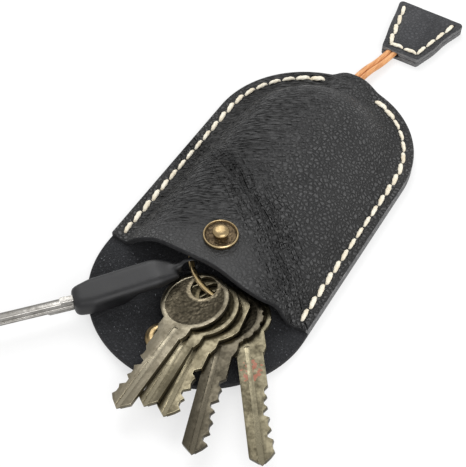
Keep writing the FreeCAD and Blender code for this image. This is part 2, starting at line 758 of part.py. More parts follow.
def build():
    parts = {
        "back_panel": make_back_panel(),
        "closing_flap": make_closing_flap(),
        "front_panel": make_front_panel(),
        "left_seam_thread": saddle_thread(left_holes, seam_top, groove_depth),
        "right_seam_thread": saddle_thread(right_holes, seam_top, groove_depth),
        "snap_stud": make_snap_stud(),
        "stud_eyelet": make_stud_eyelet(),
        "snap_socket": make_snap_socket(),
        "socket_spring": make_socket_spring(),
        "snap_cap": make_snap_cap(),
        "split_ring": make_split_ring(),
        "pull_cord": make_pull_cord(),
        "tab_front": make_tab_layer(tab_layer),
        "tab_back": make_tab_layer(0),
        "tab_thread": make_tab_thread(),
        "car_key_grip": make_car_grip(),
        "car_key_blade": make_car_blade(),
    }
    for name, azimuth, swing, tip_drop, side, kind, cuts in house_keys:
        parts[name] = place_key(make_house_key(tip_drop, side, kind, cuts), azimuth, swing)
    return parts


os.makedirs("parts", exist_ok=True)
for node, shape in build().items():
    print(node, shape.ShapeType, len(shape.Solids), shape.isValid(), round(shape.Volume, 1))
    shape.exportStep("parts/" + node + ".step")
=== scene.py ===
import math

import bpy
from mathutils import Matrix, Vector, noise


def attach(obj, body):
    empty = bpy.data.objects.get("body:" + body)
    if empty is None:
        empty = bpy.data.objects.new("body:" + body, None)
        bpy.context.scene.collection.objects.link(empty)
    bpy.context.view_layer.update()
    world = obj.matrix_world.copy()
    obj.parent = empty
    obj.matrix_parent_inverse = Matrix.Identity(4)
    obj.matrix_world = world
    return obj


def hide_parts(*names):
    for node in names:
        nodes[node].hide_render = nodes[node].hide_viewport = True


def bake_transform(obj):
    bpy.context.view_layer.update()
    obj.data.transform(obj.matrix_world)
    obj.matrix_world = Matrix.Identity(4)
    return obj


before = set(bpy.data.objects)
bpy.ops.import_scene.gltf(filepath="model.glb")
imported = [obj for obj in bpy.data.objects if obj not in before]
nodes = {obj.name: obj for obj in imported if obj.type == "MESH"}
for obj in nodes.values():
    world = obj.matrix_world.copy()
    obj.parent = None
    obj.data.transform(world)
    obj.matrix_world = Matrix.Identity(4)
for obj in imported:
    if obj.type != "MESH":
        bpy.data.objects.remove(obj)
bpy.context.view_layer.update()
mm = 0.001
print("frame loaded,", len(nodes), "CAD nodes")


# Small helpers for working as by hand

def deselectAll():
    if bpy.context.object and bpy.context.object.mode != "OBJECT":
        bpy.ops.object.mode_set(mode="OBJECT")
    bpy.ops.object.select_all(action="DESELECT")


def makeActive(piece):
    deselectAll()
    piece.select_set(True)
    bpy.context.view_layer.objects.active = piece


def newest(name):
    piece = bpy.context.object
    piece.name = name
    piece.data.name = name
    return piece


def editAll(piece):
    makeActive(piece)
    bpy.ops.object.mode_set(mode="EDIT")
    bpy.ops.mesh.select_all(action="SELECT")


def leaveEdit():
    bpy.ops.object.mode_set(mode="OBJECT")


def mergeDoubles(piece, distance=0.01 * mm):
    editAll(piece)
    bpy.ops.mesh.remove_doubles(threshold=distance)
    leaveEdit()


def turnOutward(piece):
    editAll(piece)
    bpy.ops.mesh.normals_make_consistent(inside=False)
    leaveEdit()


def applyModifier(piece, kind, **values):
    makeActive(piece)
    modifier = piece.modifiers.new(kind.lower(), kind)
    for key, value in values.items():
        setattr(modifier, key, value)
    bpy.ops.object.modifier_apply(modifier=modifier.name)


def smoothByAngle(piece, degrees):
    makeActive(piece)
    bpy.ops.object.shade_smooth_by_angle(angle=math.radians(degrees))


def giveMaterials(piece, *materials):
    piece.data.materials.clear()
    for material in materials:
        piece.data.materials.append(material)


def bevelEdges(piece, width, segments=3, degrees=60, material=-1):
    applyModifier(piece, "BEVEL", width=width * mm, segments=segments, limit_method="ANGLE",
                  angle_limit=math.radians(degrees), material=material)


def remeshSoft(piece, values):
    applyModifier(piece, "REMESH", mode="VOXEL", voxel_size=values["voxel"] * mm)
    applyModifier(piece, "SMOOTH", factor=values["smoothing"], iterations=values["passes"])


def pushOut(piece, amount):
    moves = [vertex.normal * amount(vertex) * mm for vertex in piece.data.vertices]
    for vertex, move in zip(piece.data.vertices, moves):
        vertex.co += move


def joinPieces(pieces, name):
    deselectAll()
    for piece in pieces:
        piece.select_set(True)
    bpy.context.view_layer.objects.active = pieces[0]
    bpy.ops.object.join()
    return newest(name)


def cleanCopy(nodeName, name, mergeDistance=0.004 * mm):
    makeActive(nodes[nodeName])
    bpy.ops.object.duplicate(linked=False)
    piece = newest(name)
    piece.parent = None
    for key in list(piece.keys()):
        del piece[key]
    mergeDoubles(piece, mergeDistance)
    return piece


def easeStep(low, high, value):
    share = min(max((value - low) / (high - low), 0.0), 1.0)
    return share * share * (3 - 2 * share)


def bell(value, middle, width):
    return math.exp(-((value - middle) / width) ** 2)


# Shader building

def newMaterial(name):
    material = bpy.data.materials.new(name)
    material.use_nodes = True
    shader = material.node_tree.nodes["Principled BSDF"]
    return material, material.node_tree, shader


def addNode(tree, kind, **values):
    made = tree.nodes.new(kind)
    for key, value in values.items():
        setattr(made, key, value)
    return made


def addMath(tree, operation, first, second=None, clamp=False):
    made = addNode(tree, "ShaderNodeMath", operation=operation, use_clamp=clamp)
    for socket, value in zip(made.inputs, (first, second)):
        if isinstance(value, (int, float)):
            socket.default_value = value
        elif value is not None:
            tree.links.new(value, socket)
    return made.outputs[0]


def addRamp(tree, value, *stops):
    made = addNode(tree, "ShaderNodeValToRGB")
    ramp = made.color_ramp
    ramp.elements[0].position, ramp.elements[1].position = stops[0][0], stops[-1][0]
    for stop in stops[1:-1]:
        ramp.elements.new(stop[0])
    for element, stop in zip(ramp.elements, stops):
        element.color = (*stop[1], 1)
    tree.links.new(value, made.inputs["Fac"])
    return made.outputs["Color"]


def times(tree, first, second, clamp=False):
    return addMath(tree, "MULTIPLY", first, second, clamp)


def addMix(tree, factor, first, second):
    made = addNode(tree, "ShaderNodeMix", data_type="RGBA")
    for socket, value in ((made.inputs[0], factor), (made.inputs[6], first), (made.inputs[7], second)):
        if isinstance(value, tuple):
            socket.default_value = (*value, 1)
        else:
            tree.links.new(value, socket)
    return made.outputs[2]


def addNoise(tree, place, scale, detail=4.0, roughness=0.55, distortion=0.0):
    made = addNode(tree, "ShaderNodeTexNoise")
    made.inputs["Scale"].default_value = scale
    made.inputs["Detail"].default_value = detail
    made.inputs["Roughness"].default_value = roughness
    made.inputs["Distortion"].default_value = distortion
    tree.links.new(place, made.inputs["Vector"])
    return made.outputs["Fac"]


def addCells(tree, place, scale, feature):
    made = addNode(tree, "ShaderNodeTexVoronoi", feature=feature)
    made.inputs["Scale"].default_value = scale
    tree.links.new(place, made.inputs["Vector"])
    return made.outputs["Distance"]


def addBump(tree, height, strength, distance, under=None):
    made = addNode(tree, "ShaderNodeBump")
    made.inputs["Strength"].default_value = strength
    made.inputs["Distance"].default_value = distance
    tree.links.new(height, made.inputs["Height"])
    if under is not None:
        tree.links.new(under, made.inputs["Normal"])
    return made.outputs["Normal"]


def newFinish(name):
    material, tree, shader = newMaterial(name)
    return material, tree, shader, addNode(tree, "ShaderNodeTexCoord").outputs["Object"]


def setConstant(shader, **values):
    for key, value in values.items():
        socket = shader.inputs[key.replace("_", " ")]
        socket.default_value = (*value, 1) if isinstance(value, tuple) else value


def linkFinish(tree, shader, tone, rough, normal, **constants):
    for label, value in (("Base Color", tone), ("Roughness", rough), ("Normal", normal)):
        tree.links.new(value, shader.inputs[label])
    setConstant(shader, **constants)


def newGroup(name, *outputs):
    group = bpy.data.node_groups.new(name, "ShaderNodeTree")
    group.interface.new_socket("Place", in_out="INPUT", socket_type="NodeSocketVector")
    for label in outputs:
        group.interface.new_socket(label, in_out="OUTPUT", socket_type="NodeSocketFloat")
    return group, addNode(group, "NodeGroupInput"), addNode(group, "NodeGroupOutput")


def placeGroup(tree, group, place):
    made = addNode(tree, "ShaderNodeGroup", node_tree=group)
    tree.links.new(place, made.inputs["Place"])
    return made.outputs


# Camera at the photograph's angle

cameraSet = {
    "azimuth": 29.822, "elevation": 51.995, "roll": 1.371,    # degrees
    "distance": 318.726 * mm, "target": Vector((-2.318, 19.157, 3.5)) * mm,
    "focalPixels": 1032.368, "imageHeight": 467, "sensor": 36.0, "nearest": 0.01,
}


def placeCamera(values):
    azimuth, elevation, roll = (math.radians(values[k]) for k in ("azimuth", "elevation", "roll"))
    flat = math.cos(elevation)
    back = Vector((math.sin(azimuth) * flat, -math.cos(azimuth) * flat, math.sin(elevation)))
    right = Vector((math.cos(azimuth), math.sin(azimuth), 0))
    up = back.cross(right)
    right, up = (math.cos(roll) * right + math.sin(roll) * up, math.cos(roll) * up - math.sin(roll) * right)
    deselectAll()
    bpy.ops.object.camera_add()
    camera = bpy.context.object
    turned = Matrix((right, up, back)).transposed().to_4x4()
    camera.matrix_world = Matrix.Translation(values["target"] + values["distance"] * back) @ turned
    camera.data.sensor_width = values["sensor"]
    camera.data.lens = values["focalPixels"] * values["sensor"] / values["imageHeight"]
    camera.data.clip_start = values["nearest"]
    bpy.context.scene.camera = camera
    print("camera placed, lens", round(camera.data.lens, 2))


# Studio: pale floor, a large soft lamp over the far left and a wider one at the near right

studioSet = {
    "floorSize": 6.0, "floorColour": (0.9, 0.9, 0.9), "floorRough": 0.9, "floorGlow": 0.62,
    "aim": (0, 0.03, 0), "worldStrength": 0.55,
    "lamps": {      # power, size, place
        "softKey": (5.7, 0.7, (-0.42, 0.50, 0.75)),
        "softFill": (8.0, 0.9, (0.65, -0.45, 0.7)),
    },
}


def addLamp(name, power, size, place, aim):
    deselectAll()
    bpy.ops.object.light_add(type="AREA", location=place)
    lamp = bpy.context.object
    lamp.name = name
    lamp.data.energy = power
    lamp.data.size = size
    lamp.rotation_euler = (Vector(aim) - Vector(place)).to_track_quat("-Z", "Y").to_euler()


def seenDirectly(tree):
    path = addNode(tree, "ShaderNodeLightPath")
    seen = addMath(tree, "ADD", path.outputs["Is Camera Ray"], path.outputs["Is Glossy Ray"])
    return addMath(tree, "ADD", seen, path.outputs["Is Transmission Ray"], clamp=True)


def buildStudio(values):
    deselectAll()
    bpy.ops.mesh.primitive_plane_add(size=values["floorSize"], location=(0, 0, 0))
    floor = newest("studioFloor")
    material, tree, shader = newMaterial("studioFloor")
    setConstant(shader, Base_Color=values["floorColour"], Roughness=values["floorRough"])
    glow = addNode(tree, "ShaderNodeEmission")
    blend = addNode(tree, "ShaderNodeMixShader")
    tree.links.new(times(tree, seenDirectly(tree), values["floorGlow"]), blend.inputs[0])
    tree.links.new(shader.outputs[0], blend.inputs[1])
    tree.links.new(glow.outputs[0], blend.inputs[2])
    tree.links.new(blend.outputs[0], tree.nodes["Material Output"].inputs[0])
    giveMaterials(floor, material)
    for name, lamp in values["lamps"].items():
        addLamp(name, *lamp, values["aim"])
    world = bpy.data.worlds.new("studioSky")
    bpy.context.scene.world = world
    world.use_nodes = True
    tree = world.node_tree
    sky = tree.nodes["Background"]
    sky.inputs["Color"].default_value = (1, 1, 1, 1)
    spare = times(tree, seenDirectly(tree), 1 - values["worldStrength"])
    tree.links.new(addMath(tree, "ADD", spare, values["worldStrength"]), sky.inputs["Strength"])
    bpy.context.scene.view_settings.view_transform = "Standard"
    print("studio lit")


placeCamera(cameraSet)
buildStudio(studioSet)


# Finishes: effects that several materials share are node groups

def warpPlace(tree, place, scale, amount):
    swirl = addNode(tree, "ShaderNodeTexNoise")
    swirl.inputs["Scale"].default_value = scale
    tree.links.new(place, swirl.inputs["Vector"])
    centred = addNode(tree, "ShaderNodeVectorMath", operation="SUBTRACT")
    centred.inputs[1].default_value = (0.5, 0.5, 0.5)
    tree.links.new(swirl.outputs["Color"], centred.inputs[0])
    scaled = addNode(tree, "ShaderNodeVectorMath", operation="SCALE")
    scaled.inputs["Scale"].default_value = amount
    tree.links.new(centred.outputs[0], scaled.inputs[0])
    moved = addNode(tree, "ShaderNodeVectorMath", operation="ADD")
    tree.links.new(place, moved.inputs[0])
    tree.links.new(scaled.outputs[0], moved.inputs[1])
    return moved.outputs[0]


def stretchPlace(tree, place, scale, turnDegrees=0.0):
    made = addNode(tree, "ShaderNodeMapping", vector_type="TEXTURE")      # turned first, then stretched
    made.inputs["Rotation"].default_value = (0, 0, math.radians(turnDegrees))
    made.inputs["Scale"].default_value = [1 / s for s in scale]
    tree.links.new(place, made.inputs["Vector"])
    return made.outputs[0]


def splitPlace(tree, place):
    made = addNode(tree, "ShaderNodeSeparateXYZ")
    tree.links.new(place, made.inputs[0])
    return made.outputs["X"], made.outputs["Y"]


def spread(tree, value, low, high, first=0.0, second=1.0, easing="LINEAR"):
    made = addNode(tree, "ShaderNodeMapRange", clamp=True, interpolation_type=easing)
    for socket, number in zip(made.inputs[1:5], (low, high, first, second)):
        socket.default_value = number
    tree.links.new(value, made.inputs[0])
    return made.outputs[0]


def blotches(tree, place, scale, detail, low, high, roughness=0.55):
    return spread(tree, addNoise(tree, place, scale, detail, roughness), low, high)


def apart(tree, value, middle):
    return addMath(tree, "ABSOLUTE", addMath(tree, "SUBTRACT", value, middle))


def within(tree, value, ends):
    return spread(tree, value, ends[0] * mm, ends[1] * mm)


def between(tree, share, first, second):
    rest = addMath(tree, "SUBTRACT", 1.0, share)
    return addMath(tree, "ADD", times(tree, first, rest), times(tree, second, share))


def toned(colour, factor):
    return tuple(channel * factor for channel in colour)


pebbleSet = {
    "warpScale": 560, "warp": 0.001, "cells": 740, "creaseGap": (0.02, 0.2), "bodyGap": (0.0, 0.3),
    "bodyHeight": 0.85, "poreScale": 3800, "poreHeight": 0.12, "patchScale": 70,
}


def buildGrainGroup(values):
    group, enter, leave = newGroup("pebbledGrain", "Height", "Crease", "Patch")
    place = enter.outputs["Place"]
    warped = warpPlace(group, place, values["warpScale"], values["warp"])
    gap = addCells(group, warped, values["cells"], "DISTANCE_TO_EDGE")
    pores = times(group, addNoise(group, place, values["poreScale"], 3), values["poreHeight"])
    body = spread(group, gap, *values["bodyGap"], 0.0, values["bodyHeight"], "SMOOTHSTEP")
    group.links.new(addMath(group, "ADD", body, pores), leave.inputs["Height"])
    group.links.new(spread(group, gap, *values["creaseGap"], 1.0, 0.0), leave.inputs["Crease"])
    group.links.new(addNoise(group, place, values["patchScale"], 5), leave.inputs["Patch"])
    return group


tarnishSet = {      # blotches: scale, detail, low, high, roughness; scratches: stretch and turn in degrees
    "broad": (150, 6, 0.36, 0.66, 0.62), "broadShare": 0.65, "fine": (1100, 4, 0.38, 0.7), "fineShare": 0.35,
    "specks": (2600, 2, 0.66, 0.72), "scratches": (((2600, 170, 900), 24), ((220, 3000, 900), -31)),
}


def buildTarnishGroup(values):
    group, enter, leave = newGroup("tarnish", "Stain", "Scratch", "Speck")
    place = enter.outputs["Place"]
    broad = times(group, blotches(group, place, *values["broad"]), values["broadShare"])
    fine = times(group, blotches(group, place, *values["fine"]), values["fineShare"])
    ways = [stretchPlace(group, place, *way) for way in values["scratches"]]
    oneWay, otherWay = (addNoise(group, way, 1, 3) for way in ways)
    group.links.new(addMath(group, "ADD", broad, fine), leave.inputs["Stain"])
    group.links.new(times(group, oneWay, otherWay), leave.inputs["Scratch"])
    group.links.new(blotches(group, place, *values["specks"]), leave.inputs["Speck"])
    return group


grainGroup = buildGrainGroup(pebbleSet)
tarnishGroup = buildTarnishGroup(tarnishSet)

wrinkleSet = {      # places in mm across and along the case, turns in degrees
    "sideX": (8, -12), "sideY": (0, 9), "seamX": (-31.5, -28.5),
    "lines": ((130, 1000, 130), 26), "lineRange": (0.4, 0.66), "drawn": ((0.32, 1.2, 0.5), 26),
    "bandTurn": -38.3, "bandStart": -8, "bandMiddle": 21.5, "bandBow": 5.5, "bandHalf": (9.5, 2),
    "strands": (75, 800, 75), "strandRange": (0.42, 0.62),
    "studX": 1, "tightX": (21, 8), "tightY": (18, 6), "tightShare": 0.66,
    "lineShare": 0.7, "bandShare": 1.1, "depth": 0.0011,
    "tightShade": 0.3, "sideShade": 0.34, "sunkShade": 0.4,
}


def creaseMasks(tree, place, values):
    across, along = splitPlace(tree, place)
    side = times(tree, within(tree, across, values["sideX"]), within(tree, along, values["sideY"]))
    side = times(tree, side, within(tree, across, values["seamX"]))      # the seam stays smooth
    lines = addNoise(tree, stretchPlace(tree, place, *values["lines"]), 1, 1, 0.5, 0.4)
    folds = times(tree, spread(tree, lines, *values["lineRange"]), side)
    # a band of close creases runs down across the front
    alongBand, acrossBand = splitPlace(tree, stretchPlace(tree, place, (1, 1, 1), values["bandTurn"]))
    run = apart(tree, alongBand, values["bandStart"] * mm)
    bow = times(tree, addMath(tree, "POWER", run, 2.0), values["bandBow"])
    away = apart(tree, acrossBand, addMath(tree, "SUBTRACT", values["bandMiddle"] * mm, bow))
    pulled = stretchPlace(tree, place, values["strands"], values["bandTurn"])
    strands = addNoise(tree, pulled, 1, 1.5, 0.5, 0.6)
    band = times(tree, spread(tree, strands, *values["strandRange"]), within(tree, away, values["bandHalf"]))
    # round the stud the leather is pulled smooth
    aside = apart(tree, across, values["studX"] * mm)
    tight = times(tree, within(tree, along, values["tightY"]), within(tree, aside, values["tightX"]))
    return side, folds, band, tight


leatherSet = {
    "paintedShadeTone": 0.3, "patchRange": (0.4, 0.68), "creaseRough": 0.16, "roughRange": (0.3, 0.7),
    "smoother": 0.05, "rougher": 0.06, "depth": 0.0007, "specular": 0.1,
}


def grainedLeather(name, dark, pale, roughness, strength, creaseShadeShare, wrinkles=None, values=leatherSet):
    material, tree, shader, place = newFinish(name)
    grain = placeGroup(tree, grainGroup, place)
    height, crease = grain["Height"], grain["Crease"]
    if wrinkles:        # on the left the pebbles are drawn out into fine level wrinkles
        side, folds, band, tight = creaseMasks(tree, place, wrinkles)
        plain = addMath(tree, "SUBTRACT", 1.0, times(tree, tight, wrinkles["tightShare"]))
        drawn = placeGroup(tree, grainGroup, stretchPlace(tree, place, *wrinkles["drawn"]))
        height = times(tree, between(tree, side, height, drawn["Height"]), plain)
        crease = times(tree, between(tree, side, crease, drawn["Crease"]), plain)
    paintedShade = toned(dark, values["paintedShadeTone"])
    tone = addMix(tree, spread(tree, grain["Patch"], *values["patchRange"]), dark, pale)
    # painted shade: the creases between the pebbles are darkened
    tone = addMix(tree, times(tree, crease, creaseShadeShare), tone, paintedShade)
    patchy = spread(tree, grain["Patch"], *values["roughRange"],
                    roughness - values["smoother"], roughness + values["rougher"])
    rough = addMath(tree, "ADD", times(tree, crease, values["creaseRough"]), patchy)
    normal = addBump(tree, height, strength, values["depth"])
    if wrinkles:
        folds, band = times(tree, folds, wrinkles["lineShare"]), times(tree, band, wrinkles["bandShare"])
        sunk = times(tree, addMath(tree, "ADD", folds, band), plain)
        normal = addBump(tree, times(tree, sunk, -1.0), 1.0, wrinkles["depth"], normal)
        # painted shade: the smooth part round the stud, the slack side and the sunk creases are darkened
        for mask, shade in ((tight, "tightShade"), (side, "sideShade"), (sunk, "sunkShade")):
            tone = addMix(tree, times(tree, mask, wrinkles[shade], True), tone, paintedShade)
    linkFinish(tree, shader, tone, rough, normal, Specular_IOR_Level=values["specular"])
    return material


suedeSet = {
    "nap": (1500, 5, 0.7), "napRange": (0.5, 0.7, 0.0, 0.75), "napTone": 2.8, "napBump": (0.8, 0.0005),
    "cloud": (90, 5, 0.35, 0.68), "patch": (160, 2, 0.4, 0.56), "rough": (0.3, 0.7, 0.82, 0.98),
    "dust": ((2600, 1300, 2000), 40), "dustRange": (0.67, 0.73), "dustTone": (0.34, 0.35, 0.37),
}


def suedeLeather(name, dark, pale, values):
    material, tree, shader, place = newFinish(name)
    nap = addNoise(tree, place, *values["nap"])
    tone = addMix(tree, blotches(tree, place, *values["cloud"]), dark, pale)
    tone = addMix(tree, spread(tree, nap, *values["napRange"]), tone, toned(pale, values["napTone"]))
    dust = blotches(tree, stretchPlace(tree, place, *values["dust"]), 1, 2, *values["dustRange"])
    dust = times(tree, dust, blotches(tree, place, *values["patch"]))
    tone = addMix(tree, dust, tone, values["dustTone"])
    rough, normal = spread(tree, nap, *values["rough"]), addBump(tree, nap, *values["napBump"])
    linkFinish(tree, shader, tone, rough, normal, Specular_IOR_Level=0.15, Sheen_Weight=0.12)
    return material


def cutEdge(name, dark, middle, pale):
    material, tree, shader, place = newFinish(name)
    fibre = addNoise(tree, stretchPlace(tree, place, (500, 500, 3200)), 1, 4, 0.7)
    tone = addRamp(tree, fibre, (0.3, dark), (0.52, middle), (0.75, pale))
    rough = spread(tree, fibre, 0.3, 0.7, 0.7, 0.95)
    linkFinish(tree, shader, tone, rough, addBump(tree, fibre, 0.6, 0.0002), Specular_IOR_Level=0.25)
    return material


threadSet = {
    "fine": (3200, 3, 0.6), "wear": (260, 4), "wornRange": (0.42, 0.72), "rough": (0.3, 0.7, 0.5, 0.72),
    "bump": (0.5, 0.00012), "specular": 0.35, "shade": (0.5, 0.75, 0.0, 0.35),
}
plasticSet = {
    "fine": (3000, 2), "wear": (120, 5), "wornRange": (0.4, 0.7), "rough": (0.3, 0.7, 0.34, 0.5),
    "bump": (0.25, 0.00008), "specular": 0.31,
}


def satinFinish(name, values, fresh, worn, shaded=None):
    material, tree, shader, place = newFinish(name)
    fine, wear = addNoise(tree, place, *values["fine"]), addNoise(tree, place, *values["wear"])
    tone = addMix(tree, spread(tree, wear, *values["wornRange"]), fresh, worn)
    if shaded:
        tone = addMix(tree, spread(tree, fine, *values["shade"]), tone, shaded)
    rough, normal = spread(tree, wear, *values["rough"]), addBump(tree, fine, *values["bump"])
    linkFinish(tree, shader, tone, rough, normal, Specular_IOR_Level=values["specular"])
    return material


def nearPoint(tree, place, point, ends):
    away = addNode(tree, "ShaderNodeVectorMath", operation="DISTANCE")
    away.inputs[1].default_value = Vector(point) * mm
    tree.links.new(place, away.inputs[0])
    return within(tree, away.outputs["Value"], ends)


metalSet = {
    "speckShare": 0.6, "speckTone": 0.3, "stain": (0.2, 0.9), "smoother": 0.08, "rougher": 0.2,
    "scratchBump": (0.16, 0.00008),
    "dotRange": (0.3, 0.75, 0.0, 0.75), "dotTone": 0.35, "dotBump": (0.9, 0.0002),
    "rubbedHighlightRing": (5.4, 4.7), "rubbedHighlightTone": 3.4,        # rings in mm round the point
    "rustRing": (6.5, 2.5), "rustNoise": (700, 5), "rustRange": (0.44, 0.49, 0.0, 0.9),
    "rustTone": (0.24, 0.062, 0.022),
}


def wornMetal(name, bright, stained, roughness, stipple=0.0, rustAt=None, rubbedHighlightAt=None, values=metalSet):
    material, tree, shader, place = newFinish(name)
    age = placeGroup(tree, tarnishGroup, place)
    tone = addMix(tree, age["Stain"], bright, stained)
    specks = times(tree, age["Speck"], values["speckShare"])
    tone = addMix(tree, specks, tone, toned(stained, values["speckTone"]))
    rough = spread(tree, age["Stain"], *values["stain"], roughness - values["smoother"],
                   roughness + values["rougher"])
    normal = addBump(tree, age["Scratch"], *values["scratchBump"])
    if stipple:
        dots = addCells(tree, place, stipple, "SMOOTH_F1")
        normal = addBump(tree, dots, *values["dotBump"], normal)
        tone = addMix(tree, spread(tree, dots, *values["dotRange"]), tone, toned(stained, values["dotTone"]))
    if rubbedHighlightAt:        # the ring rubs the metal round the hole bright, and the hole's rim is painted lighter still as a highlight
        rubbedHighlight = nearPoint(tree, place, rubbedHighlightAt, values["rubbedHighlightRing"])
        tone = addMix(tree, rubbedHighlight, tone, toned(bright, values["rubbedHighlightTone"]))
    if rustAt:
        near = nearPoint(tree, place, rustAt, values["rustRing"])
        blotch = times(tree, addNoise(tree, place, *values["rustNoise"]), near)
        rust = spread(tree, blotch, *values["rustRange"])
        tone = addMix(tree, rust, tone, values["rustTone"])
        tree.links.new(addMath(tree, "SUBTRACT", 1.0, rust), shader.inputs["Metallic"])
    else:
        setConstant(shader, Metallic=1.0)
    linkFinish(tree, shader, tone, rough, normal)
    return material


def tanLace(name, dark, middle, pale, cracked):
    material, tree, shader, place = newFinish(name)
    streak = addNoise(tree, stretchPlace(tree, place, (1500, 140, 1500)), 1, 4, 0.6)
    crack = addNoise(tree, stretchPlace(tree, place, (500, 1900, 500)), 1, 3)
    tone = addRamp(tree, streak, (0.3, dark), (0.52, middle), (0.74, pale))
    tone = addMix(tree, spread(tree, crack, 0.62, 0.74, 0.0, 0.5), tone, cracked)
    rough = spread(tree, streak, 0.3, 0.7, 0.48, 0.68)
    normal = addBump(tree, addMath(tree, "ADD", streak, crack), 0.4, 0.00012)
    linkFinish(tree, shader, tone, rough, normal, Specular_IOR_Level=0.4)
    return material


frontGrain = grainedLeather("frontGrain", (0.066, 0.0662, 0.0668), (0.091, 0.0912, 0.0915), 0.42, 1.0, 0.85,
                            wrinkleSet)
backGrain = grainedLeather("backGrain", (0.059, 0.0592, 0.0598), (0.082, 0.0822, 0.0825), 0.42, 0.8, 0.85)
tabGrain = grainedLeather("tabGrain", (0.042, 0.043, 0.0462), (0.076, 0.0772, 0.0815), 0.36, 0.45, 0.4)
insideSuede = suedeLeather("insideSuede", (0.0085, 0.0089, 0.0101), (0.019, 0.0196, 0.0218), suedeSet)
rawEdge = cutEdge("rawEdge", (0.045, 0.046, 0.048), (0.14, 0.14, 0.142), (0.28, 0.276, 0.27))
dyedEdge = cutEdge("dyedEdge", (0.006, 0.006, 0.007), (0.016, 0.016, 0.017), (0.05, 0.05, 0.052))
creamThread = satinFinish("creamThread", threadSet, (0.86, 0.81, 0.68), (0.70, 0.61, 0.45),
                          (0.52, 0.44, 0.31))
# lighter brass: worn crests, and a painted highlight on bevelled edges
rubbedHighlightBrass = wornMetal("rubbedHighlightBrass", (0.55, 0.43, 0.25), (0.30, 0.22, 0.11), 0.28)
ringBrass = wornMetal("ringBrass", (0.50, 0.38, 0.185), (0.24, 0.17, 0.075), 0.28)
agedBrass = wornMetal("agedBrass", (0.36, 0.27, 0.145), (0.13, 0.09, 0.042), 0.32)
recessBrass = wornMetal("recessBrass", (0.13, 0.095, 0.055), (0.035, 0.026, 0.018), 0.5, stipple=1500)
springSteel = wornMetal("springSteel", (0.55, 0.55, 0.54), (0.3, 0.29, 0.27), 0.3)
bladeSteel = wornMetal("bladeSteel", (0.36, 0.35, 0.33), (0.17, 0.16, 0.145), 0.36)
# painted highlight for the blade's bevelled edges
highlightSteel = wornMetal("highlightSteel", (0.62, 0.60, 0.57), (0.42, 0.40, 0.37), 0.26)
gripPlastic = satinFinish("gripPlastic", plasticSet, (0.006, 0.006, 0.0065), (0.013, 0.013, 0.014))
laceLeather = tanLace("laceLeather", (0.46, 0.18, 0.06), (0.68, 0.33, 0.135), (0.80, 0.47, 0.24),
                      (0.30, 0.11, 0.035))
print("finishes mixed")


# Lace: one leather cord, doubled round the ring, both ends sewn into the tab

laceSet = {
    "radius": 0.95 * mm, "length": 228.2 * mm, "exit": (4.0 * mm, 120.8 * mm, 1.9 * mm),
    "route": [
        (3.179, 129.565, 1.9), (1.75, 115.87, 1.95), (-1.5, 105, 3.2), (-2.55, 84, 3.15), (0.05, 57, 3.3),
        (1.95, 37, 3.25), (3.973, 29.449, 7.637), (4.323, 18.449, 8.537), (4.323, 18.449, 4.537),
        (4.673, 28.449, 4.737), (4.05, 37, 3.25), (2.15, 57, 3.3), (-0.45, 84, 3.15), (0.6, 105, 3.2),
        (3.85, 115.87, 1.95), (5.279, 129.565, 1.9),
    ],
}


def makeLace(values, material):
    deselectAll()
    bpy.ops.curve.primitive_nurbs_path_add()
    lace = newest("laceCord")
    curve = lace.data
    curve.splines.clear()
    spline = curve.splines.new("NURBS")
    spline.points.add(len(values["route"]) - 1)
    for point, place in zip(spline.points, values["route"]):
        point.co = (*(Vector(place) * mm), 1)
    spline.order_u = 3
    spline.use_endpoint_u = True
    curve.dimensions = "3D"
    curve.resolution_u = 16
    curve.bevel_depth = values["radius"]
    curve.bevel_resolution = 5
    curve.use_fill_caps = True
    giveMaterials(lace, material)
    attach(lace, "carrier")
    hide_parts("pull_cord")
    print("lace laid")


makeLace(laceSet, laceLeather)


# Leather hides: a grid is laid out in rings round the case's spine, then gets its thickness

def mappedGrid(name, columns, rows, place):
    deselectAll()
    bpy.ops.mesh.primitive_grid_add(x_subdivisions=columns, y_subdivisions=rows, size=1)
    piece = newest(name)
    for vertex in piece.data.vertices:
        column, row = round((vertex.co.x + 0.5) * columns), round((vertex.co.y + 0.5) * rows)
        vertex.co = Vector(place(column, row)) * mm
    return piece


def evenSteps(first, last, count):
    return [first + (last - first) * i / count for i in range(count)]


def archStations(low, high, values):
    up = [(y, 0.0) for y in evenSteps(low, high, values["sideSteps"])]
    over = [(high, turn) for turn in evenSteps(0, math.pi, values["arcSteps"])]
    down = [(y, math.pi) for y in evenSteps(high, low, values["sideSteps"])]
    return up + over + down


def thicken(piece, values):
    applyModifier(piece, "SOLIDIFY", thickness=values["thick"] * mm, offset=-1, material_offset=1,
                  material_offset_rim=2)


def liftFlap(piece, values):
    turn = math.radians(values["liftDegrees"])
    for vertex in piece.data.vertices:
        along, up = vertex.co.y - values["foldY"] * mm, vertex.co.z
        if along < 0:
            vertex.co.y = values["foldY"] * mm + along * math.cos(turn) + up * math.sin(turn)
            vertex.co.z = up * math.cos(turn) - along * math.sin(turn)


hideSet = {
    "archY": 65.0, "flapY": -2.0, "thick": 2.0, "foldY": -6.0, "liftDegrees": 3.06, "edgeRound": 0.4,
    "rings": (0, 2, 4, 6, 8, 10, 12.5, 15, 18, 21, 24, 26.5, 28.5, 30.1, 30.35, 31.65, 31.9, 33, 33.9, 34.4),
    "sideSteps": 34, "arcSteps": 60,
    "grooveDepth": 0.95, "grooveRadii": (30.2, 31.8), "grooveStart": 0.4, "grooveEndDegrees": 73.4,
    "backZ": 0.5,       # lower points belong to the back
}


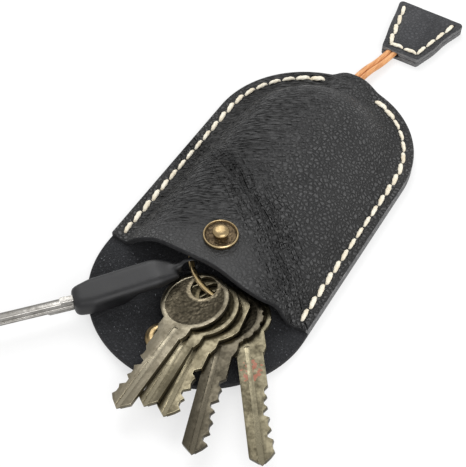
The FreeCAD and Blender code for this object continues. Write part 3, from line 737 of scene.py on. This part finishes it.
def makeHide(values):
    arch, flap = values["archY"], values["flapY"]
    stations = archStations(flap, arch, values)
    stations += [(flap, turn) for turn in evenSteps(math.pi, 2 * math.pi, values["arcSteps"])]
    stations.append(stations[0])

    def lay(column, row):
        middle, turn = stations[row]
        reach = values["rings"][column]
        return reach * math.cos(turn), middle + reach * math.sin(turn), values["thick"]

    hide = mappedGrid("caseHide", len(values["rings"]) - 1, len(stations) - 1, lay)
    mergeDoubles(hide)
    giveMaterials(hide, insideSuede, backGrain, rawEdge, dyedEdge)
    thicken(hide, values)
    bevelEdges(hide, values["edgeRound"])
    low, high = values["grooveRadii"]
    for vertex in hide.data.vertices:       # stitching groove on the back
        x, y, z = vertex.co / mm
        reach = math.hypot(x, max(y - arch, 0))
        turn = math.degrees(math.atan2(max(y - arch, 0), abs(x)))
        sewn = y > values["grooveStart"] and turn < values["grooveEndDegrees"]
        if sewn and z < values["backZ"] and low < reach < high:
            vertex.co.z += values["grooveDepth"] * mm
    for face in hide.data.polygons:         # the flap's edge is dyed dark
        if face.material_index == 2 and face.center.y < 0:
            face.material_index = 3
    liftFlap(hide, values)
    smoothByAngle(hide, degrees=40)
    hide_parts("back_panel", "closing_flap")
    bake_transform(hide)
    print("hide cut and folded")


makeHide(hideSet)

frontSet = {        # lip, drawn, stitch, ridge, peak and slack: middle and width
    "archY": 65.0, "thick": 1.8, "seam": 3.8, "rise": 12.2, "edgeRound": 0.4,
    # rim, foot, crown and the wall's degrees
    "mouthForm": (30.3, 4.2, 11.2, 64.5), "archForm": (29.6, 8.0, 17.0, 46.0),
    "mouthDip": 3.0, "mouthBend": 420.7, "sectionStart": -4.0,
    "lip": (20.0, 7.0), "lipOut": 0.5, "drawn": (4.0, 8.0), "drawnIn": 1.0,
    # the slack left side rises straight from its seam
    "tentSlope": 0.97, "tentSoft": 5.0, "tentFade": (46.0, 10.0), "tentRim": (31.0, 29.0),
    "rings": [0, 0.5] + [1.0 * i for i in range(1, 30)] + [29.7, 30.3, 30.9, 31.5, 32.2, 33.0, 33.8, 34.4],
    "sideSteps": 62, "arcSteps": 84,
    "humpX": -1.2, "humpHalves": (8.0, 11.0), "humpRise": 2.85, "humpStart": 80.0,
    "stitch": (31.0, 1.0), "stitchSink": 0.28,
    "crease": ((-19.5, 36.5), (4.2, 24.8), (17.1, 12.9), (28.1, -1.0)),
    "creaseWidth": 1.25, "creaseDepth": 1.05,
    "ridge": (2.9, 1.7), "ridgeShare": 0.6, "ridgeReach": 8.0,      # beside the crease
    "peak": (-5.0, 9.0), "peakRise": 1.3, "peakFade": (3.0, -3.0),
    # the leather sinks past the crease
    "slack": (17.0, 10.0), "slackDrop": 3.0, "slackFade": (52.0, 14.0), "slackRim": (27.0, 19.0),
    "studY": 8.0, "studFree": (5.5, 9.0), "rimFree": (29.5, 25.0),      # where crease and dents fade out
    "dentDepth": 0.45, "dentScale": (0.07, 0.09), "dentSeed": 3.1, "dyedX": 33.6, "dyedY": 4.0,
}


def domeHeight(values, form, reach):
    rim, foot, crown, wall = form
    wall = math.radians(wall)
    straight = (values["rise"] - (foot + crown) * (1 - math.cos(wall))) / math.sin(wall)
    foot, crown = foot - values["thick"], crown + values["thick"]
    footEnd = rim - foot * math.sin(wall)
    crownStart = footEnd - straight * math.cos(wall)
    crownMiddle = crownStart - crown * math.sin(wall)
    top = values["seam"] + values["rise"]
    if reach >= rim:
        return values["seam"]
    if reach >= footEnd:
        return values["seam"] + foot - math.sqrt(foot ** 2 - (rim - reach) ** 2)
    if reach >= crownStart:
        return values["seam"] + foot * (1 - math.cos(wall)) + (footEnd - reach) * math.tan(wall)
    if reach >= crownMiddle:
        return top - crown + math.sqrt(crown ** 2 - (reach - crownMiddle) ** 2)
    return top


def creaseOffset(values, x, y):
    nearest, side = 1e9, 0
    for (ax, ay), (bx, by) in zip(values["crease"][:-1], values["crease"][1:]):
        length = math.hypot(bx - ax, by - ay)
        share = ((x - ax) * (bx - ax) + (y - ay) * (by - ay)) / length ** 2
        share = min(max(share, 0), 1)
        away = math.hypot(x - ax - share * (bx - ax), y - ay - share * (by - ay))
        if away < nearest:
            nearest = away
            side = ((bx - ax) * (y - ay) - (by - ay) * (x - ax)) / length
    ridge = values["ridgeShare"] * bell(abs(side), *values["ridge"])
    if nearest >= values["ridgeReach"]:
        ridge = 0
    return values["creaseDepth"] * (ridge - bell(nearest, 0, values["creaseWidth"]))


def makeFront(values):
    arch = values["archY"]
    stations = archStations(0, 1, values) + [(0.0, math.pi)]

    def lay(column, row):
        share, turn = stations[row]
        reach = values["rings"][column]
        x = reach * math.cos(turn)
        mouthY = reach ** 2 / values["mouthBend"] - values["mouthDip"]
        mouthY -= values["lipOut"] * bell(x, *values["lip"])
        mouthY += values["drawnIn"] * bell(x, *values["drawn"])
        y = mouthY + (arch - mouthY) * share + reach * math.sin(turn)
        mix = min(max((y - values["sectionStart"]) / (arch - values["sectionStart"]), 0), 1)
        z = domeHeight(values, values["mouthForm"], reach) * (1 - mix)
        z += domeHeight(values, values["archForm"], reach) * mix
        across = min(abs(x - values["humpX"]) / values["humpHalves"][x > values["humpX"]], 1)
        hump = values["seam"] + values["humpRise"] * (1 - across ** 3) ** 2
        if y > values["humpStart"]:
            z = max(z, hump)
        z += values["peakRise"] * bell(x, *values["peak"]) * easeStep(*values["peakFade"], y)
        slack = bell(x, *values["slack"]) * easeStep(*values["slackFade"], y)
        z -= values["slackDrop"] * slack * easeStep(*values["slackRim"], reach)
        if x < 0:
            tent = values["seam"] + values["tentSlope"] * max(values["mouthForm"][0] - reach, 0)
            share = min(max(0.5 + 0.5 * (tent - z) / values["tentSoft"], 0), 1)
            lower = tent + (z - tent) * share - values["tentSoft"] * share * (1 - share)
            drop = max(lower, values["seam"]) - z
            z += drop * easeStep(*values["tentFade"], y) * easeStep(*values["tentRim"], reach)
        return x, y, z

    front = mappedGrid("frontLeather", len(values["rings"]) - 1, len(stations) - 1, lay)
    mergeDoubles(front)
    outerCount = len(front.data.vertices)
    giveMaterials(front, frontGrain, insideSuede, rawEdge, dyedEdge)
    thicken(front, values)
    acrossScale, alongScale = values["dentScale"]
    for vertex in front.data.vertices[:outerCount]:      # pressed seam, crease and soft dents on the outside
        x, y, z = vertex.co / mm
        reach = math.hypot(x, max(y - arch, 0))
        lift = -values["stitchSink"] * bell(reach, *values["stitch"])
        away = math.hypot(x, y - values["studY"])
        free = easeStep(*values["studFree"], away) * easeStep(*values["rimFree"], reach)
        dent = noise.noise(Vector((x * acrossScale, y * alongScale, values["dentSeed"])))
        lift += free * creaseOffset(values, x, y)
        lift += free * values["dentDepth"] * dent
        vertex.co.z += lift * mm
    bevelEdges(front, values["edgeRound"])
    for face in front.data.polygons:        # the mouth's edge is dyed
        x, y, z = face.center / mm
        if face.material_index == 2 and y < values["dyedY"] and abs(x) < values["dyedX"]:
            face.material_index = 3
    smoothByAngle(front, degrees=45)
    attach(front, "case")
    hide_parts("front_panel")
    print("front formed,", len(front.data.polygons), "faces")


makeFront(frontSet)


# Saddle stitches: one plied stitch is modelled, then copied from hole to hole

stitchSet = {
    "length": 5.1, "width": 0.72, "height": 0.56, "around": 15, "along": 14, "plies": 3, "twist": 2.6,
    "plyDepth": 0.11, "endPower": 0.35, "covered": 0.97, "seat": 0.85, "sink": 0.75, "sinkPower": 5,
    "slantDegrees": 7.0, "backFlat": 0.68, "doubled": 1.3, "doubledPower": 0.4,
    "unevenness": 0.12, "swayStep": 12.9, "swayLong": 0.35, "swayTurn": 0.5,
    "seamTop": 3.56, "seamBack": 0.92, "sideX": 31.0, "startY": 1.6, "archY": 65.0,
    "perSide": 20, "doubledLast": 2,
}


def makeStitch(values):
    def lay(column, row):
        turn = 2 * math.pi * column / values["around"]
        share = row / values["along"]
        ending = math.sin(math.pi * share) ** values["endPower"] if 0 < share < 1 else 0.0
        strand = values["plies"] * turn + 2 * math.pi * values["twist"] * share
        ply = 1 + values["plyDepth"] * math.cos(strand)
        x = (share - 0.5) * values["length"] * values["covered"]
        dive = values["sink"] * abs(2 * share - 1) ** values["sinkPower"]
        slant = math.tan(math.radians(values["slantDegrees"])) * x * ending
        y = values["width"] * ply * ending * math.cos(turn) + slant
        return x, y, values["height"] * (values["seat"] + ply * ending * math.sin(turn)) - dive

    stitch = mappedGrid("stitch", values["around"], values["along"], lay)
    mergeDoubles(stitch, distance=0.001 * mm)
    turnOutward(stitch)
    return stitch


def sewRow(pattern, name, holes, top, back, body, node, doubledFrom=math.inf):
    copies = []
    for index, ((ax, ay), (bx, by)) in enumerate(zip(holes[:-1], holes[1:])):
        thicker = stitchSet["doubled"] if index >= doubledFrom else 1.0       # sewn twice where the row ends
        heading = math.atan2(by - ay, bx - ax)
        stretch = math.hypot(bx - ax, by - ay) / stitchSet["length"]
        for height, roll, flat in ((top, 0.0, 1.0), (back, math.pi, stitchSet["backFlat"])):
            makeActive(pattern)
            bpy.ops.object.duplicate(linked=False)
            copy = bpy.context.object
            # hand-sewn, so no two are alike
            sway = math.sin(stitchSet["swayStep"] * len(copies)) * stitchSet["unevenness"]
            longer = thicker ** stitchSet["doubledPower"] * (1 + stitchSet["swayLong"] * sway)
            copy.scale = (stretch * longer, thicker * (1 + sway), flat)
            copy.rotation_euler = (roll, 0, heading + stitchSet["swayTurn"] * sway)
            copy.location = Vector(((ax + bx) / 2, (ay + by) / 2, height)) * mm
            copies.append(copy)
    row = joinPieces(copies, name)
    bpy.ops.object.transform_apply(location=True, rotation=True, scale=True)
    smoothByAngle(row, degrees=50)
    giveMaterials(row, creamThread)
    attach(row, body)
    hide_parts(node)
    print(name, "sewn,", len(holes) - 1, "stitches a face")


def seamHoles(values, side):
    holes = []
    straight = values["archY"] - values["startY"]
    for i in range(values["perSide"] + 1):
        run = values["length"] * i
        if run <= straight:
            holes.append((side * values["sideX"], values["startY"] + run))
        else:
            turn = (run - straight) / values["sideX"]
            x = side * values["sideX"] * math.cos(turn)
            holes.append((x, values["archY"] + values["sideX"] * math.sin(turn)))
    return holes


tabSet = {
    "place": (6.6, 120.8), "turnDegrees": -1.5, "sideHole": (10.02, 24.1), "endHole": (5.35, 2.6),
    "sideStitches": 4, "top": 3.72, "back": 0.78,
    "voxel": 0.3, "smoothing": 0.5, "passes": 3,
    "length": 26.7, "halfNarrow": 7.45, "halfWide": 13.25, "layer": 1.9,
    "hollowAt": (-0.8, 10.0), "hollowHalves": (2.5, 3.8), "hollowDepth": 0.9,
    "ridgeAt": (0.8, 17.5), "ridgeHalves": (4.2, 2.7), "ridgeRise": 0.4,
    "waves": {-1: (0.22, 0.36, 0.4), 1: (0.5, 0.4, 1.2)}, "wavePower": 6,
    "edgeShare": 0.93, "edgeFacing": 0.6,
}


def tabHoles(values):
    (wideX, wideY), (narrowX, narrowY) = values["sideHole"], values["endHole"]
    count = values["sideStitches"]
    left = [(-wideX + (wideX - narrowX) * i / count, wideY + (narrowY - wideY) * i / count)
            for i in range(count + 1)]
    local = left + [(0.0, narrowY)] + [(-x, y) for x, y in reversed(left)]
    turn = math.radians(values["turnDegrees"])
    cosine, sine = math.cos(turn), math.sin(turn)
    startX, startY = values["place"]
    return [(startX + x * cosine - y * sine, startY + x * sine + y * cosine) for x, y in local]


stitchPattern = makeStitch(stitchSet)
seams = (-1, "leftStitches", "left_seam_thread"), (1, "rightStitches", "right_seam_thread")
seamDoubled = stitchSet["perSide"] - stitchSet["doubledLast"]
for seamSide, seamName, seamNode in seams:
    sewRow(stitchPattern, seamName, seamHoles(stitchSet, seamSide), stitchSet["seamTop"],
           stitchSet["seamBack"], "case", seamNode, seamDoubled)
sewRow(stitchPattern, "tabStitches", tabHoles(tabSet), tabSet["top"], tabSet["back"], "carrier", "tab_thread")
makeActive(stitchPattern)
bpy.ops.object.delete()


# Pull tab: two layers of the same leather, flesh sides together

def softSpot(across, along, at, halves):
    return math.exp(-((across - at[0]) / halves[0]) ** 2 - ((along - at[1]) / halves[1]) ** 2)


def tabPlace(point, values):
    turn = math.radians(values["turnDegrees"])
    x, y = point.x / mm - values["place"][0], point.y / mm - values["place"][1]
    across, along = x * math.cos(turn) + y * math.sin(turn), y * math.cos(turn) - x * math.sin(turn)
    half = values["halfNarrow"] + (values["halfWide"] - values["halfNarrow"]) * along / values["length"]
    return across, along, across / half


def makeTabLayer(node, name, values):
    layer = cleanCopy(node, name)
    remeshSoft(layer, values)
    giveMaterials(layer, tabGrain, rawEdge)
    inset = (1 - values["edgeShare"]) * values["length"] / 2
    for face in layer.data.polygons:
        across, along, share = tabPlace(face.center, values)
        onEdge = abs(share) > values["edgeShare"] or not inset < along < values["length"] - inset
        face.material_index = 1 if onEdge and abs(face.normal.z) < values["edgeFacing"] else 0
    for vertex in layer.data.vertices:      # the cut edges wander, and the stitching draws the face in
        across, along, share = tabPlace(vertex.co, values)
        reach, rate, start = values["waves"][1 if across > 0 else -1]
        wave = reach * (1 + math.sin(along * rate + start)) / 2 * share ** values["wavePower"]
        vertex.co.x -= math.copysign(wave, across) * mm
        upper = min(max(vertex.co.z / mm / values["layer"] - 1, 0), 1)
        sunk = values["hollowDepth"] * softSpot(across, along, values["hollowAt"], values["hollowHalves"])
        sunk -= values["ridgeRise"] * softSpot(across, along, values["ridgeAt"], values["ridgeHalves"])
        vertex.co.z -= sunk * upper * mm
    smoothByAngle(layer, degrees=60)
    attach(layer, "carrier")
    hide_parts(node)


makeTabLayer("tab_front", "tabFront", tabSet)
makeTabLayer("tab_back", "tabBack", tabSet)
print("tab sewn up")


# Snap: stud on the front, socket and cap on the flap, each turned from its profile

def turnPiece(name, profile, middle, steps):
    x, y, z = middle

    def lay(column, row):
        turn = 2 * math.pi * column / steps
        radius, height = profile[row]
        return x + radius * math.cos(turn), y + radius * math.sin(turn), z + height

    piece = mappedGrid(name, steps, len(profile) - 1, lay)
    mergeDoubles(piece, distance=0.002 * mm)
    turnOutward(piece)
    return piece


snapSet = {
    "steps": 72, "stud": (0, 8.0, 16.0), "socket": (0, -23.7, 2.0), "cap": (0, -23.7, 0.0),
    "studProfile": ((0, 0), (5.2, 0), (5.32, 0.25), (5.34, 0.7), (5.28, 1.05), (5.16, 1.3), (5.0, 1.42),
                    (4.84, 1.36), (4.74, 1.15), (4.66, 0.85), (4.4, 0.66), (4.2, 0.6), (2.4, 0.6), (2.1, 0.7),
                    (2.0, 1.2), (2.1, 1.5), (2.42, 1.8), (2.55, 2.15), (2.48, 2.5), (2.2, 2.85), (1.75, 3.1),
                    (1.1, 3.26), (0.45, 3.3), (0, 3.3)),
    "socketProfile": ((2.1, 0), (5.25, 0), (5.32, 0.1), (5.3, 0.5), (5.16, 0.68), (4.85, 0.82), (4.5, 1.1),
                      (4.2, 1.38), (3.9, 1.49), (3.4, 1.52), (2.75, 1.5), (2.62, 1.4), (2.62, 1.1),
                      (3.15, 1.08), (3.15, 0.42), (2.1, 0.4), (2.1, 0)),
    "capProfile": ((0, -0.8), (1.5, -0.79), (2.8, -0.75), (3.8, -0.66), (4.6, -0.5), (5.1, -0.32),
                   (5.38, -0.12), (5.42, 0), (1.7, 0), (1.7, 2.5), (0, 2.5)),
    "recess": (2.2, 4.62, 0.2, 0.95),      # the dark dish: inner and outer radius, lowest and highest face
}


def makeSnap(values):
    stud = turnPiece("snapStud", values["studProfile"], values["stud"], values["steps"])
    giveMaterials(stud, agedBrass, recessBrass, rubbedHighlightBrass)
    inner, outer, low, high = values["recess"]
    for face in stud.data.polygons:
        x, y, z = face.center / mm - Vector(values["stud"])
        reach = math.hypot(x, y)
        # the rim's crest is worn and painted lighter as a highlight
        if reach > outer and z > high:
            face.material_index = 2
        elif inner < reach < outer and low < z < high:
            face.material_index = 1
    socket = turnPiece("snapSocket", values["socketProfile"], values["socket"], values["steps"])
    cap = turnPiece("snapCap", values["capProfile"], values["cap"], values["steps"])
    rides = (stud, "case", "snap_stud"), (socket, "flap", "snap_socket"), (cap, "flap", "snap_cap")
    for piece, body, node in rides:
        if body == "flap":
            liftFlap(piece, hideSet)
            giveMaterials(piece, agedBrass)
        smoothByAngle(piece, degrees=50)
        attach(piece, body)
        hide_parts(node)
    giveMaterials(nodes["stud_eyelet"], agedBrass)
    giveMaterials(nodes["socket_spring"], springSteel)
    print("snap turned")


makeSnap(snapSet)


# Ring and keys: cleaned copies of the solids with rounded edges, painted lighter there as a highlight

def easedCopy(node, name, body, width, materials):
    piece = cleanCopy(node, name)
    giveMaterials(piece, *materials)
    # painted highlight: the last, lighter finish goes on the bevelled edges
    highlightEdge = len(materials) - 1
    bevelEdges(piece, width, segments=2, degrees=35, material=highlightEdge)
    smoothByAngle(piece, degrees=40)
    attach(piece, body)
    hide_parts(node)
    return piece


ringSet = {"edge": 0.14, "plating": 0.13}


def makeRing(values):
    # the lighter brass is a painted highlight on the bevelled edges
    finishes = ringBrass, rubbedHighlightBrass
    ring = easedCopy("split_ring", "splitRing", "carrier", values["edge"], finishes)
    pushOut(ring, lambda vertex: values["plating"])         # plating rounds the wire out
    print("ring plated")


makeRing(ringSet)

keySet = {
    "axis": Vector((-0.20337, -0.04323, 0.97815)), "edge": 0.13, "facing": 0.95,
    "recessDepth": (0.44, 0.5), "grooveDepth": (0.3, 0.35), "stipple": 1300,
    "dishTone": 0.5, "grooveHighlightTone": 1.8, "edgeHighlightTone": 3.2, "rust": {"house_key_5": (28.4, -22.4, 7.4)},
    "plainRough": 0.36, "dishRough": 0.5, "grooveRough": 0.3, "edgeRough": 0.26,
    "keys": {       # hole, bright tone, stained tone
        "house_key_1": ((3.16, -6.29, 8.98), (0.17, 0.152, 0.113), (0.09, 0.077, 0.053)),
        "house_key_2": ((6.21, -6.48, 8.10), (0.15, 0.133, 0.092), (0.06, 0.051, 0.031)),
        "house_key_3": ((9.22, -5.98, 7.18), (0.16, 0.141, 0.095), (0.063, 0.053, 0.032)),
        "house_key_4": ((12.04, -4.81, 6.26), (0.076, 0.067, 0.049), (0.03, 0.026, 0.018)),
        "house_key_5": ((14.53, -3.03, 5.39), (0.128, 0.114, 0.077), (0.05, 0.043, 0.027)),
    },
}


def makeHouseKey(node, hole, bright, stained, values):
    name = node.title().replace("_", "")
    plain = wornMetal("metal" + name, bright, stained, values["plainRough"], rustAt=values["rust"].get(node))
    dished = wornMetal("stipple" + name, stained, toned(stained, values["dishTone"]), values["dishRough"],
                       stipple=values["stipple"], rubbedHighlightAt=hole)
    # painted highlight: the groove faces are painted lighter than the flat faces
    grooveHighlight = wornMetal("groove" + name, toned(bright, values["grooveHighlightTone"]), bright, values["grooveRough"])
    # painted highlight: the bevelled edges are painted lighter than the key
    rubbedHighlight = wornMetal("edge" + name, toned(bright, values["edgeHighlightTone"]), bright, values["edgeRough"])
    key = easedCopy(node, "key" + name, node, values["edge"], (plain, dished, grooveHighlight, rubbedHighlight))
    axis = values["axis"]
    for face in key.data.polygons:
        depth = abs((face.center / mm - Vector(hole)).dot(axis))
        if abs(face.normal.dot(axis)) > values["facing"]:
            for index, (low, high) in ((1, values["recessDepth"]), (2, values["grooveDepth"])):
                if low < depth < high:
                    face.material_index = index


for keyNode, keyTones in keySet["keys"].items():
    makeHouseKey(keyNode, *keyTones, keySet)
print("house keys cut")

gripSet = {
    "voxel": 0.32, "smoothing": 0.5, "passes": 26, "swell": 0.8, "fuller": (4.0, 13.0), "turnDegrees": -42.0,
    "eye": (-3.96, -2.63, 10.79), "eyeRadius": 3.2, "eyeSides": (-1.3, 0.4), "eyeBore": 2.65, "drillLong": 4,
    "steps": 48, "webLength": 5.5, "webHeight": 3.4, "bladeEdge": 0.14,
}


def makeGrip(values):
    grip = cleanCopy("car_key_grip", "carKeyGrip")
    eye = Vector(values["eye"])
    heading = math.radians(values["turnDegrees"])
    across = Vector((math.cos(heading), math.sin(heading), 0))
    along = Vector((math.sin(heading), -math.cos(heading), 0))
    near, far = values["eyeSides"]
    middle = eye + across * (near + far) / 2
    lying = across.to_track_quat("Z", "Y").to_euler()

    def addRod(name, radius, depth, place):
        bpy.ops.mesh.primitive_cylinder_add(vertices=values["steps"], radius=radius * mm, depth=depth * mm,
                                            location=place * mm, rotation=lying)
        return newest(name)

    deselectAll()
    boss = addRod("eyeBoss", values["eyeRadius"], far - near, middle)
    bpy.ops.mesh.primitive_cube_add(size=mm, location=(middle + along * values["webLength"] / 2) * mm,
                                    rotation=(0, 0, heading),
                                    scale=(far - near, values["webLength"], values["webHeight"]))
    web = newest("eyeWeb")
    grip = joinPieces([grip, boss, web], "carKeyGrip")
    applyModifier(grip, "REMESH", mode="VOXEL", voxel_size=values["voxel"] * mm)
    drill = addRod("eyeDrill", values["eyeBore"], values["drillLong"] * (far - near), eye)
    applyModifier(grip, "BOOLEAN", object=drill, operation="DIFFERENCE", solver="EXACT")
    makeActive(drill)
    bpy.ops.object.delete()
    remeshSoft(grip, values)

    def fullness(vertex):       # fuller away from the eye
        return values["swell"] * easeStep(*values["fuller"], (vertex.co / mm - eye).length)

    pushOut(grip, fullness)
    smoothByAngle(grip, degrees=60)
    giveMaterials(grip, gripPlastic)
    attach(grip, "car_key")
    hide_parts("car_key_grip")


makeGrip(gripSet)
# painted highlight: the lighter steel goes on the blade's bevelled edges
bladeFinishes = bladeSteel, highlightSteel
easedCopy("car_key_blade", "carKeyBlade", "car_key", gripSet["bladeEdge"], bladeFinishes)
print("car key fitted")
